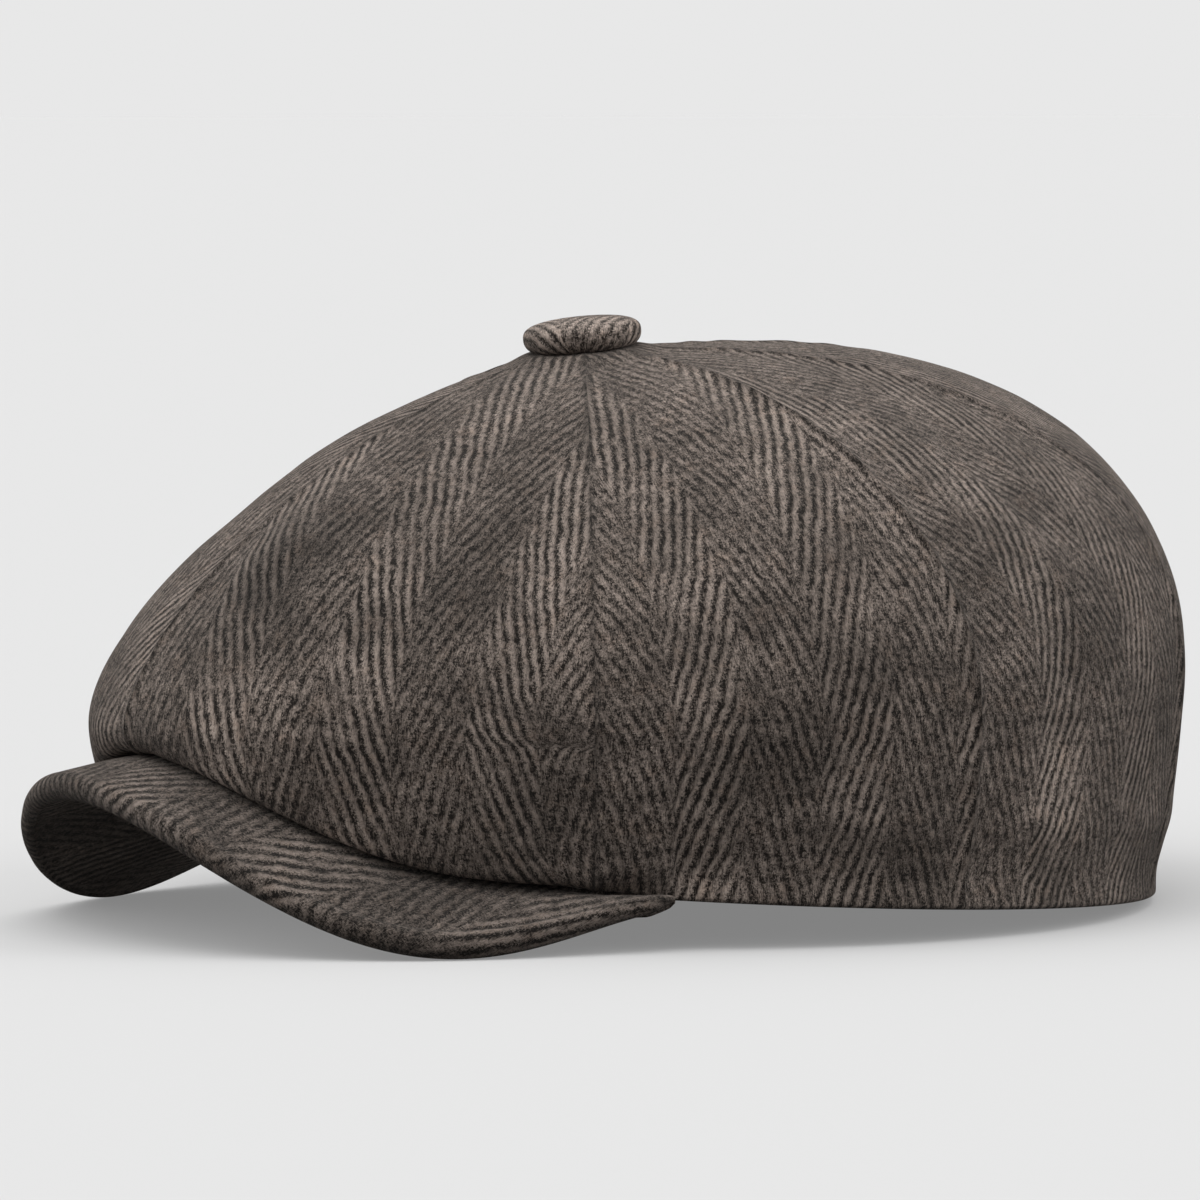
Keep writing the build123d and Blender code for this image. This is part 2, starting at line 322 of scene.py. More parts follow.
class Shader:
    """A material's node tree, with short calls for the nodes that these materials use."""

    def __init__(self, name):
        self.material = bpy.data.materials.new(name)
        self.material.use_nodes = True
        self.tree = self.material.node_tree
        self.surface = self.tree.nodes["Principled BSDF"]

    def node(self, kind, **inputs):
        made = self.tree.nodes.new(kind)
        for key, value in inputs.items():
            self.feed(made.inputs[key.replace("_", " ")], value)
        return made

    def feed(self, socket, value):
        if isinstance(value, bpy.types.NodeSocket):
            self.tree.links.new(value, socket)
        else:
            socket.default_value = value

    def math(self, operation, *values):
        made = self.tree.nodes.new("ShaderNodeMath")
        made.operation = operation
        for socket, value in zip(made.inputs, values):
            self.feed(socket, value)
        return made.outputs[0]

    def in_millimetres(self, vector):
        scaled = self.tree.nodes.new("ShaderNodeVectorMath")
        scaled.operation = "SCALE"
        self.feed(scaled.inputs[0], vector)
        self.feed(scaled.inputs["Scale"], 1 / MM)
        return scaled.outputs[0]

    def cloth_coordinates(self):
        """Across and along the cloth, in millimetres, and both as one vector."""
        uv = self.tree.nodes.new("ShaderNodeUVMap")
        uv.uv_map = "cloth"
        scaled = self.in_millimetres(uv.outputs[0])
        apart = self.node("ShaderNodeSeparateXYZ", Vector=scaled)
        return apart.outputs[0], apart.outputs[1], scaled

    def solid_coordinates(self):
        """The row frame's own coordinates, in millimetres."""
        return self.in_millimetres(self.tree.nodes.new("ShaderNodeTexCoord").outputs["Object"])

    def noise(self, vector, size, detail=2.0, roughness=0.5, distortion=0.0):
        """Noise from 0 to 1 with features about `size` of the vector's units across."""
        made = self.node("ShaderNodeTexNoise", Vector=vector, Scale=1 / size, Detail=detail,
                         Roughness=roughness, Distortion=distortion)
        return made.outputs["Fac"]

    def centred(self, *texture):
        """The same noise, from about -0.5 to 0.5."""
        return self.math("SUBTRACT", self.noise(*texture), 0.5)

    def streaks(self, vector, angle, width, length):
        """Noise drawn out along one direction, like short fibres, from about -0.5 to 0.5."""
        turned_to = self.tree.nodes.new("ShaderNodeMapping")
        self.feed(turned_to.inputs["Vector"], vector)
        turned_to.inputs["Rotation"].default_value = (0, 0, np.radians(angle))
        turned_to.inputs["Scale"].default_value = (1 / width, 1 / length, 1 / width)
        return self.centred(turned_to.outputs[0], 1.0, 2.0, 0.6, 0.7)

    def spread(self, value, low, high, out_low=0.0, out_high=1.0, smooth=True):
        made = self.node("ShaderNodeMapRange")
        made.interpolation_type = "SMOOTHSTEP" if smooth else "LINEAR"
        for key, number in (("Value", value), ("From Min", low), ("From Max", high),
                            ("To Min", out_low), ("To Max", out_high)):
            self.feed(made.inputs[key], number)
        return made.outputs[0]

    def mix(self, share, first, second, blend="MIX"):
        made = self.tree.nodes.new("ShaderNodeMixRGB")
        made.blend_type = blend
        for socket, value in zip(made.inputs, (share, first, second)):
            self.feed(socket, value)
        return made.outputs[0]

    def grey(self, value):
        made = self.node("ShaderNodeCombineColor", Red=value, Green=value, Blue=value)
        return made.outputs[0]

    def attribute(self, name):
        made = self.tree.nodes.new("ShaderNodeAttribute")
        made.attribute_name = name
        return made.outputs["Fac"]

    def bump(self, height, distance_mm, strength=1.0):
        made = self.node("ShaderNodeBump", Height=height, Distance=distance_mm * MM,
                         Strength=strength)
        self.feed(self.surface.inputs["Normal"], made.outputs[0])

    def finish(self, color, roughness=0.9, **fixed):
        self.feed(self.surface.inputs["Base Color"], color)
        self.feed(self.surface.inputs["Roughness"], roughness)
        for key, value in fixed.items():
            self.surface.inputs[key.replace("_", " ")].default_value = value
        return self.material


def rgb(red, green, blue):
    """An sRGB colour, 0 to 255, as the linear colour that a node takes."""
    linear = [((c / 255 + 0.055) / 1.055) ** 2.4 if c > 10 else c / 255 / 12.92
              for c in (red, green, blue)]
    return (*linear, 1.0)


def herringbone(name):
    """Brushed wool: slanted stripes that turn back at every column, fuzzed and mottled."""
    s = Shader(name)
    u, v, uv = s.cloth_coordinates()
    fluff = s.centred(uv, 0.45, 3.0, 0.75, 0.8)
    fibres = s.math("MAXIMUM", s.streaks(uv, 20, 0.26, 1.8), s.streaks(uv, -35, 0.28, 1.5))
    fibres = s.math("MAXIMUM", fibres, s.streaks(uv, 70, 0.26, 1.2))
    u = s.math("ADD", s.math("MULTIPLY_ADD", s.centred(uv, 11.0, 2.0), 2.2, u), column_width * 20.5)
    v = s.math("MULTIPLY_ADD", s.centred(uv, 6.0, 2.0), 0.9, v)
    across = s.math("PINGPONG", u, column_width)
    column = s.math("FLOOR", s.math("DIVIDE", u, column_width))
    slant_cos, slant_sin = float(cosd(stripe_slant)), float(sind(stripe_slant))
    rank = s.math("SUBTRACT", s.math("MULTIPLY", across, slant_cos / stripe_period),
                  s.math("MULTIPLY", v, slant_sin / stripe_period))
    odd = s.math("MODULO", column, 2.0)
    # painted light: the columns that lie with the nap, as the mesh's lean says, get stronger
    # stripes and a lighter tone
    lit_with_nap = s.math("ABSOLUTE", s.math("SUBTRACT", odd, s.attribute("lean")))
    rank = s.math("MULTIPLY_ADD", odd, 0.5, rank)
    rank = s.math("MULTIPLY_ADD", s.centred(uv, 3.2, 2.0, 0.5), 0.35, rank)
    rank = s.math("MULTIPLY_ADD", fluff, 0.8, rank)
    wave = s.math("SINE", s.math("MULTIPLY", rank, 2 * np.pi))
    from_turn = s.math("PINGPONG", across, column_width / 2)
    nap = s.math("MULTIPLY", s.spread(s.centred(uv, 13.0, 3.0, 0.6), -0.14, 0.10, 0.45, 1.0),
                 s.spread(from_turn, 0.0, 1.3, 0.5, 1.0))
    nap = s.math("MULTIPLY", nap, s.spread(lit_with_nap, 0.0, 1.0, 0.55, 1.0))
    raised = s.math("MULTIPLY_ADD", s.math("MULTIPLY", wave, nap), stripe_contrast, stripe_middle)
    on_stripe = s.node("ShaderNodeCombineXYZ", X=rank, Y=s.math("MULTIPLY", v, 1 / 3.2)).outputs[0]
    raised = s.math("MULTIPLY_ADD", s.centred(on_stripe, 0.8, 3.0, 0.65), 1.2, raised)
    raised = s.math("MULTIPLY_ADD", fibres, fibre_contrast, raised)
    raised = s.math("MULTIPLY_ADD", fluff, fluff_contrast, raised)
    raised = s.math("MULTIPLY_ADD", s.centred(uv, 1.1, 2.0, 0.6), 0.8, raised)
    raised = s.math("MULTIPLY_ADD", lit_with_nap, 0.07, raised)
    wool = s.mix(s.spread(raised, 0.0, 1.0, smooth=False), rgb(*WOOL_DARK), rgb(*WOOL_LIGHT))
    patch = s.spread(s.centred(uv, 22.0, 4.0, 0.6), -0.15, 0.17)
    wool = s.mix(patch, s.mix(1.0, wool, PATCH_DARK, "MULTIPLY"),
                 s.mix(1.0, wool, PATCH_LIGHT, "MULTIPLY"))
    brown = s.spread(s.centred(uv, 6.0, 4.0, 0.7), 0.0, 0.2, 0.0, 0.5)
    wool = s.mix(brown, wool, s.mix(1.0, wool, BROWN_TINT, "MULTIPLY"))
    kemp = s.spread(s.centred(uv, 0.5, 2.0, 0.8, 1.5), 0.21, 0.30, 0.0, 0.45)
    wool = s.mix(kemp, wool, rgb(172, 163, 154))
    # painted light and shade: the mesh's shade attribute multiplies the wool's colour
    wool = s.mix(1.0, wool, s.grey(s.attribute("shade")), "MULTIPLY")
    s.bump(raised, 0.3, 0.6)
    return s.finish(wool, 0.97, Specular_IOR_Level=0.08, Sheen_Weight=0.16, Sheen_Roughness=0.6,
                    Sheen_Tint=(0.74, 0.70, 0.66, 1))


def satin(name, weft_pitch=0.42, warp_pitch=0.34):
    """Lining cloth: a fine smooth weave with broad darker patches."""
    s = Shader(name)
    u, v, uv = s.cloth_coordinates()
    weft = s.math("SINE", s.math("MULTIPLY", v, 2 * np.pi / weft_pitch))
    warp = s.math("SINE", s.math("MULTIPLY", u, 2 * np.pi / warp_pitch))
    crossed = s.math("MULTIPLY", s.math("MULTIPLY", weft, warp), 0.2)
    weave = s.math("ADD", crossed, s.noise(uv, 0.5, 3.0))
    color = s.mix(s.spread(weave, 0.2, 0.8), rgb(44, 41, 42), rgb(74, 70, 72))
    darker = s.mix(1.0, color, (0.8, 0.8, 0.82, 1), "MULTIPLY")
    color = s.mix(s.noise(uv, 24.0, 2.0), color, darker)
    s.bump(weave, 0.06, 0.5)
    return s.finish(color, s.spread(weave, 0.2, 0.8, 0.38, 0.5), Sheen_Weight=0.1,
                    Specular_IOR_Level=0.5)


def ribbed(name, pitch, dark, light, thread_pitch=0.7):
    """Grosgrain or elastic: fine ribs that run up and down the strip."""
    s = Shader(name)
    u, v, uv = s.cloth_coordinates()
    rib = s.math("SINE", s.math("MULTIPLY", u, 2 * np.pi / pitch))
    thread = s.math("SINE", s.math("MULTIPLY", v, 2 * np.pi / thread_pitch))
    height = s.math("ADD", s.math("MULTIPLY", rib, 0.35), s.math("MULTIPLY", thread, 0.12))
    height = s.math("ADD", height, s.noise(uv, 0.6, 3.0))
    color = s.mix(s.spread(height, 0.0, 1.0), dark, light)
    s.bump(height, 0.18, 0.7)
    return s.finish(color, 0.8, Sheen_Weight=0.2, Specular_IOR_Level=0.3)


def speckled(name, dark, light, size, roughness, metallic=0.0, bump=0.05, **fixed):
    """A plain solid: fine grain, a little mottle and a slightly uneven surface."""
    s = Shader(name)
    here = s.solid_coordinates()
    grain = s.noise(here, size, 4.0, 0.6)
    mottle = s.noise(here, size * 14, 2.0)
    uneven = s.math("ADD", grain, s.math("SUBTRACT", mottle, 0.5))
    color = s.mix(s.spread(uneven, 0.3, 0.75), dark, light)
    s.bump(grain, bump, 0.5)
    rough = s.spread(grain, 0.2, 0.8, roughness * 0.85, min(1.0, roughness * 1.15))
    return s.finish(color, rough, Metallic=metallic, **fixed)


wool = herringbone("wool_herringbone")
lining_satin = satin("lining_satin")
grosgrain = ribbed("sweatband_grosgrain", 1.1, rgb(32, 30, 30), rgb(64, 60, 59))
elastic = ribbed("elastic_ribs", 2.2, rgb(20, 20, 21), rgb(48, 46, 47))
cotton_tape = speckled("cotton_tape", rgb(52, 48, 45), rgb(82, 77, 73), 0.5, 0.9)
felt = speckled("felt_padding", rgb(190, 187, 178), rgb(222, 219, 210), 0.7, 0.95)
plastic = speckled("visor_board_plastic", rgb(205, 205, 200), rgb(228, 228, 224), 1.5, 0.45)
steel = speckled("pressed_steel", (0.45, 0.45, 0.46, 1), (0.62, 0.62, 0.63, 1), 0.8, 0.35,
                 metallic=1.0, bump=0.02)
thread = speckled("sewing_thread", rgb(48, 43, 40), rgb(92, 84, 80), 0.25, 0.8)
label_cloth = speckled("label_cloth", rgb(196, 193, 186), rgb(224, 221, 214), 0.35, 0.8)


# ---------------------------------------------------------------- crown

GORE_COLUMNS, GORE_ROWS = 81, 171
TURN_UP = 11.0            # how far the cloth turns up inside the hem
LINING_GAP = 0.6          # between the cloth and its lining
DRAWN_FROM, DRAWN_OVER = 9.0, 8.0               # where the cloth is drawn up to the button
GROOVE_DEPTH, GROOVE_WIDTH = 0.42, 0.75         # of the line of a seam
SWELL_HEIGHT, SWELL_AT, SWELL_WIDTH = 0.18, 4.5, 3.5
PUCKER_HEIGHT, PUCKER_REACH, PUCKER_PERIOD = 0.1, 5.0, 11.0
# painted shade in the seams' grooves: how much it darkens the wool, and its width
SEAM_PAINTED_SHADE, SEAM_PAINTED_SHADE_WIDTH = 0.42, 0.7
UNDULATION = ((0.75, 46, 0), (0.42, 21, 90), (0.14, 8, 170))    # height, size, noise offset
DENT_DEPTH, DENT_WIDTH = 0.5, 3.4               # over the top edge of the tape

# (angle, height) along each soft fold, how far it stands out, and its width
folds = (
    (((131, 101), (125, 92), (122, 83), (126, 76)), 1.0, 5.0),
    (((116, 66), (118, 50), (117, 32)), 0.9, 5.5),
    (((150, 70), (146, 48), (147, 30)), 0.8, 6.0),
    (((96, 88), (100, 78), (97, 66)), -0.6, 7.0),
    (((-112, 92), (-118, 76), (-115, 58)), 0.9, 6.0),
    (((-150, 96), (-141, 80), (-144, 60)), -0.8, 7.0),
    (((-84, 40), (-88, 28)), 0.7, 6.0),
    (((40, 66), (36, 54), (38, 44)), -0.6, 8.0),
    (((-30, 62), (-24, 50)), -0.6, 8.0),
    (((168, 60), (176, 44), (172, 30)), 0.7, 7.0),
    (((8, 78), (9, 72), (10, 66)), -1.5, 7.0),
    (((92, 58), (92, 46)), -0.6, 6.0),
)
# (angle, height), radius and tone of spots of painted light and shade on the wool: a tone below 1
# is painted shade, above 1 painted light
painted_light_spots = (
    ((11, 70), 13.0, 0.45), ((90, 52), 8.0, 0.7), ((40, 80), 12.0, 0.85), ((38, 67), 12.0, 0.8),
    ((112, 24), 20.0, 1.75), ((138, 22), 14.0, 1.2), ((60, 54), 12.0, 1.3), ((72, 16), 20.0, 1.3),
    ((12, 40), 16.0, 1.3), ((26, 32), 14.0, 1.4), ((100, 97), 14.0, 1.2),
)


def gore_angles(start, end):
    """Angles across a gore, closer together by its seams."""
    even = np.linspace(0, 1, GORE_COLUMNS)
    bunched = 0.5 - 0.5 * np.cos(np.pi * even)
    return start + (end - start) * (0.55 * even + 0.45 * bunched)


def up_to_button(points):
    """Draws the cloth up to the underside of the button."""
    ahead = points[..., 1] - axis_y
    out = np.clip((np.hypot(points[..., 0], ahead) - DRAWN_FROM) / DRAWN_OVER, 0, 1)
    share = 1 - out * out * (3 - 2 * out)
    under = crown_height + button_lift + ahead * np.tan(np.radians(button_tilt)) + 0.1
    points[..., 2] += share * np.maximum(0, under - points[..., 2])
    return points


def gore_surface(angles, inset, rows):
    """Grid of points down the cloth at each angle, which stops short of the hem by its rounding."""
    lines = [soften(resample(crown_path(a, inset), 420, crown_cloth / 2), 30) for a in angles]
    columns = [place(a, *resample(line, rows).T) for a, line in zip(angles, lines)]
    points = np.stack(columns, axis=1)
    return up_to_button(points) if inset == 0 else points


def flat_coordinates(points, middle):
    """Across and along the gore's own middle line, as on the flat cloth it was cut from."""
    outwards = np.array([sind(middle), -cosd(middle), 0.0])
    line = resample(crown_path(middle, 0.0), 500)
    step = np.diff(line, axis=0)
    turns_in = np.nonzero(step[:, 0] < -0.06 * np.linalg.norm(step, axis=1))[0]
    if len(turns_in):
        line = line[:turns_in[0] + 1]
    run_on = line[-1] + np.outer(np.arange(0.5, 90, 0.5), (-0.06, -1.0))
    line = np.concatenate([line, run_on])
    line_at = np.concatenate([[0], np.cumsum(np.linalg.norm(np.diff(line, axis=0), axis=1))])
    local = points - (0.0, axis_y, 0.0)
    gap = ((local @ outwards)[..., None] - line[:, 0]) ** 2 + (local[..., 2:] - line[:, 1]) ** 2
    nearest = np.clip(gap.argmin(-1), 1, len(line) - 2)[..., None]
    before, here, after = (np.take_along_axis(gap, nearest + shift, -1)[..., 0]
                           for shift in (-1, 0, 1))
    part = np.clip((before - after) / (2 * (before - 2 * here + after)), -1, 1)
    along = np.interp(nearest[..., 0] + part, np.arange(len(line)), line_at)
    across = arc_along(points, 1)
    return np.stack([across - across[:, across.shape[1] // 2, None], along], -1)


def fold_relief(points, angle, height):
    """Soft folds, each a swelling along a line over the cloth."""
    total = np.zeros(points.shape[:2])
    out = np.hypot(points[..., 0], points[..., 1] - axis_y)
    for path, stands, width in folds:
        path = np.array(path, float)
        fine = np.linspace(0, len(path) - 1, 24)
        line_angle = np.interp(fine, np.arange(len(path)), path[:, 0])
        line_height = np.interp(fine, np.arange(len(path)), path[:, 1])
        aside = np.radians(turned(angle[..., None] - line_angle)) * out[..., None]
        gap = np.hypot(aside, (height[..., None] - line_height) * 0.9)
        nearest = gap.argmin(-1)
        ends = np.sin(np.pi * (0.12 + 0.76 * nearest / 23))
        total = total + stands * ends * np.exp(-(gap.min(-1) / width) ** 2)
    return total


def painted_spot_shading(points, angle):
    """Painted light and shade in spots: a factor on the wool's colour, 1 away from the spots."""
    shade = np.ones(points.shape[:2])
    out = np.hypot(points[..., 0], points[..., 1] - axis_y)
    for (spot_angle, spot_height), radius, tone in painted_light_spots:
        aside = np.radians(turned(angle - spot_angle)) * out
        gap = np.hypot(aside, points[..., 2] - spot_height)
        shade = shade * (1 + (tone - 1) * np.exp(-(gap / radius) ** 2))
    return shade


def seam_relief(points, edge, along):
    """How far the cloth stands out by a seam: it dips in, swells beside it and puckers a little."""
    wander = soft_noise(points + 300, 15)
    groove = -GROOVE_DEPTH * np.exp(-(edge / GROOVE_WIDTH) ** 2)
    swell = SWELL_HEIGHT * np.exp(-((edge - SWELL_AT) / SWELL_WIDTH) ** 2) * (1 + 0.7 * wander)
    wave = np.sin(along * 2 * np.pi / PUCKER_PERIOD + 4 * wander)
    pucker = PUCKER_HEIGHT * np.exp(-edge / PUCKER_REACH) * wave
    return groove + swell + pucker


def cloth_relief(points, to_hem, along, edge, folded_under):
    """Slow undulation of the whole cloth, and the dent over the tape inside the hem."""
    broad = sum(height * soft_noise(points + offset, size) for height, size, offset in UNDULATION)
    dent = -DENT_DEPTH * np.exp(-((to_hem - tape_line - 1.0) / DENT_WIDTH) ** 2)
    dent = dent * (0.8 + 0.4 * soft_noise(points + 40, 30))
    fade = np.clip(edge / 4, 0, 1) * np.clip(along / 24, 0, 1)
    above_tape = 0.3 + 0.7 / (1 + np.exp(-(to_hem - tape_line - 4) / 2))
    low = np.clip((to_hem - 3) / 10, 0, 1)
    clear_of_fold = np.clip((to_hem - 36) / 22, 0.15, 1)
    low = low * (1 - folded_under) + clear_of_fold * folded_under
    return (broad * above_tape + dent * (1 - folded_under)) * fade * low


def rounded_hem(outer, inner, rise):
    """Rows round the folded edge of the cloth, and up inside it as far as it turns up."""
    lead = outer[-1] - outer[-2]
    lead = lead / np.linalg.norm(lead, axis=-1, keepdims=True)
    centre, half = (outer[-1] + inner[-1]) / 2, (outer[-1] - inner[-1]) / 2
    turns = [centre + half * np.cos(turn) + lead * crown_cloth / 2 * np.sin(turn)
             for turn in np.linspace(0, np.pi, 8)[1:-1]]
    up = np.linalg.norm(np.diff(inner[::-1], axis=0), axis=-1).mean(1).cumsum()
    rows = np.searchsorted(up, rise)
    return np.concatenate([outer, np.stack(turns), inner[::-1][:rows:2]])


def crown_gore(name, start, end, against_nap):
    """One gore of the crown with its turned-up hem, and the lining gore behind it."""
    angles = gore_angles(start, end)
    points = gore_surface(angles, 0.0, GORE_ROWS)
    along, across = arc_along(points, 0), arc_along(points, 1)
    edge = np.minimum(across, across[:, -1:] - across)
    to_hem = along[-1:] - along + crown_cloth / 2
    folded_under = fall(angles, fold_power)[None]
    relief = cloth_relief(points, to_hem, along, edge, folded_under)
    relief = relief + fold_relief(points, angles[None], points[..., 2]) * np.clip(edge / 3, 0, 1)
    seams = seam_relief(points, edge, along)
    seams = seams * np.clip(along / 20, 0.3, 1) * np.clip(to_hem / 4, 0.3, 1)
    normal = grid_normals(points)
    surface = points + normal * (relief + seams)[..., None]
    whole = rounded_hem(surface, gore_surface(angles, crown_cloth, GORE_ROWS), TURN_UP)
    uv = flat_coordinates(surface, (start + end) / 2)
    tail = np.repeat(uv[-1:], len(whole) - len(surface), axis=0)
    tail[..., 1] += arc_along(whole[len(surface) - 1:], 0)[1:]
    uv = np.concatenate([uv, tail])
    shade = np.ones(whole.shape[:2])
    # painted shade along the grooves of the seams
    painted_seam_shade = 1 - SEAM_PAINTED_SHADE * np.exp(-(edge / SEAM_PAINTED_SHADE_WIDTH) ** 2)
    # the wool's painted light and shade: the painted spots and the painted shade by the seams
    shade[:len(surface)] = painted_spot_shading(surface, angles[None]) * painted_seam_shade
    cloth_piece(name, whole, uv, wool, shade=shade, lean=against_nap)

    lining_points = gore_surface(angles[::2], crown_cloth + LINING_GAP, GORE_ROWS // 2 + 1)
    follows = relief[::2, ::2] - 0.2 - 0.25 * np.exp(-(edge[::2, ::2] / 1.0) ** 2)
    lining = lining_points + grid_normals(lining_points) * follows[..., None]
    lining_name = name.replace("crown", "lining")
    cloth_piece(lining_name, lining, flat_coordinates(lining, (start + end) / 2), lining_satin)


for gore, first, second in zip(gore_names, seam_angles[:-1], seam_angles[1:]):
    to_front = gore == "front"
    crown_gore(f"crown_gore_{gore}_left", first, second, to_front)
    crown_gore(f"crown_gore_{gore}_right", -second, -first, not to_front)


# ---------------------------------------------------------------- visor

TUCK_ROWS = 4             # rows of the cover that are sewn up between crown and sweatband
TUCK_HEIGHT, TUCK_INSET = 5.0, 0.9
END_THICKNESS, THIN_OVER = 0.22, 0.05           # what the covers thin to, and over what share
END_REACH, DRAWN_IN_OVER = 0.3, 0.04            # the same for how far the visor reaches
SLAB_SHARE = 0.94         # how much of the visor's width its padding and board take
# painted shade: the factor that darkens the visor's wool against the crown's
VISOR_PAINTED_SHADE = 0.76
visor_angles = np.linspace(-visor_half_angle, visor_half_angle, 221)


def thinned(angle):
    """The visor's thickness as its covers show it: they close to a point at the temples."""
    share = np.minimum(1, (1 - visor_share(angle)) / THIN_OVER) ** 0.6
    return visor_thickness_at(angle) * (END_THICKNESS + (1 - END_THICKNESS) * share)


def drawn_in_rim(angle):
    """The visor's outer edge, drawn in to the hem over the last of its length."""
    share = np.minimum(1, (1 - visor_share(angle)) / DRAWN_IN_OVER) ** 0.7
    share = END_REACH + (1 - END_REACH) * share
    return hem_reach(angle) + (rim_reach(angle) - hem_reach(angle)) * share


def visor_line(angle, rows_top, rows_turn):
    """Reach and height at one angle: tucked in the seam, over the visor and round its soft edge."""
    thick = thinned(angle)
    turn_at = drawn_in_rim(angle) - thick / 2
    tucked = np.linspace(1, 0, TUCK_ROWS + 1)[:-1]
    r = np.concatenate([np.full(TUCK_ROWS, hem_reach(angle) - TUCK_INSET),
                        np.linspace(hem_reach(angle), turn_at, rows_top)])
    z = visor_top(angle, r) + np.concatenate([TUCK_HEIGHT * tucked, np.zeros(rows_top)])
    turn = np.linspace(0, np.pi, rows_turn)[1:]
    r = np.concatenate([r, turn_at + thick / 2 * np.sin(turn)])
    z = np.concatenate([z, z[-1] - thick / 2 + thick / 2 * np.cos(turn)])
    return r, z


def visor_flat(points, angles, top_rows):
    """Cloth coordinates of the visor: as seen from above, and carried on round its edge."""
    flat = np.stack([points[..., 0], -points[..., 1]], -1)
    flat[top_rows:] = flat[top_rows - 1]
    past = arc_along(points[top_rows - 1:], 0)[1:, :, None]
    flat[top_rows:] += past * np.stack([sind(angles), cosd(angles)], -1)
    return flat


def visor_top_cover():
    """The cloth over the visor and round its soft edge."""
    top_rows = 60
    lines = [visor_line(a, top_rows, 26) for a in visor_angles]
    points = np.stack([place(a, r, z) for a, (r, z) in zip(visor_angles, lines)], axis=1)
    along = arc_along(points, 0)
    fade = np.clip((along - 5) / 10, 0, 1) * np.clip((along[-1:] - along) / 4, 0, 1)
    relief = (0.35 * soft_noise(points + 700, 24) + 0.12 * soft_noise(points + 750, 7)) * fade
    surface = points + grid_normals(points) * relief[..., None]
    uv = visor_flat(points, visor_angles, top_rows + TUCK_ROWS)
    # painted shade over the whole visor top
    shade = np.full(surface.shape[:2], VISOR_PAINTED_SHADE)
    cloth_piece("visor_top_cover", surface, uv, wool, shade=shade)


def visor_under_cover():
    """The cloth under the visor, with the groove where it meets the cover above."""
    lines = []
    for a in visor_angles:
        thick = thinned(a)
        r = np.linspace(drawn_in_rim(a) - thick / 2, hem_reach(a), 46)
        lines.append(place(a, r, visor_top(a, r) - thick))
    points = np.stack(lines, axis=1)
    from_edge = arc_along(points, 0)
    groove = 0.35 * np.exp(-((from_edge - 0.6) / 0.5) ** 2)
    swell = 0.3 * (1 + soft_noise(points + 800, 22)) * np.clip(from_edge / 6, 0, 1)
    points[..., 2] += (groove + swell * 0.6) * np.clip(from_edge / 0.4, 0, 1)
    # painted shade in the groove where the under cover meets the cover above
    shade = 1 - 0.35 * np.exp(-((from_edge - 0.6) / 0.5) ** 2)
    uv = np.stack([points[..., 0] + 200, -points[..., 1]], -1)
    cloth_piece("visor_under_cover", points, uv, wool, shade=shade)


def visor_slab(node, top_share, bottom_share, material):
    """A layer inside the visor, which stops short of where the covers close at the temples."""
    columns = []
    for a in np.linspace(-SLAB_SHARE, SLAB_SHARE, 121) * visor_half_angle:
        thick = visor_thickness_at(a)
        r = np.linspace(hem_reach(a) + 0.2, rim_reach(a) - thick / 2 - 0.3, 24)
        upper = place(a, r, visor_top(a, r) - top_share * thick)
        lower = place(a, r, visor_top(a, r) - bottom_share * thick)
        columns.append(np.concatenate([upper, lower[::-1], upper[:1]]))
    points = np.stack(columns, axis=1)
    return grid_piece(node, points, points[..., :2], material, closed=True)


visor_top_cover()
visor_under_cover()
visor_slab("visor_padding", 0.29, 0.46, felt)
visor_slab("visor_board", 0.51, 0.71, plastic)


# ---------------------------------------------------------------- sweatband, elastic and label

def strip(name, start, end, inset, cloth, lift, height, material, columns, gathers=0.0):
    """An upright band inside the hem, with soft rolled edges."""
    angles = np.linspace(start, end, columns)
    turn = np.linspace(0, 2 * np.pi, 49)[:-1]
    square_x = np.sign(np.cos(turn)) * np.abs(np.cos(turn)) ** 0.7
    square_z = np.sign(np.sin(turn)) * np.abs(np.sin(turn)) ** 0.25
    rows = []
    for index, a in enumerate(angles):
        mid_z = hem_height(a) + lift + height / 2
        ripple = gathers * np.sin(index * 2 * np.pi / 8)
        r = hem_reach(a) - inset - cloth / 2 + square_x * cloth / 2 + ripple * np.cos(turn / 2) ** 2
        rows.append(place(a, r, mid_z + square_z * height / 2))
    points = np.stack(rows, axis=1)
    length = arc_along(points[:1], 1)[0]
    up = square_z * height / 2 + height / 2
    uv = np.stack(np.broadcast_arrays(length[None], up[:, None]), -1)
    cloth_piece(name, np.concatenate([points, points[:1]]), np.concatenate([uv, uv[:1]]), material,
                flat=(length[-1], height + cloth), layers=2)


band_half_angle = 180 - elastic_half_angle - 0.2
strip("sweatband", -band_half_angle, band_half_angle,
      band_inset, band_cloth, band_lift, band_height, grosgrain, 241)
strip("sweatband_elastic", 180 - elastic_half_angle, 180 + elastic_half_angle,
      band_inset, elastic_cloth, band_lift, band_height, elastic, 181, gathers=0.3)
for side, tape_start, tape_end in (("left", 0.1, 179.9), ("right", -179.9, -0.1)):
    strip(f"hem_tape_{side}", tape_start, tape_end,
          tape_inset, tape_cloth, tape_lift, tape_height, cotton_tape, 181)


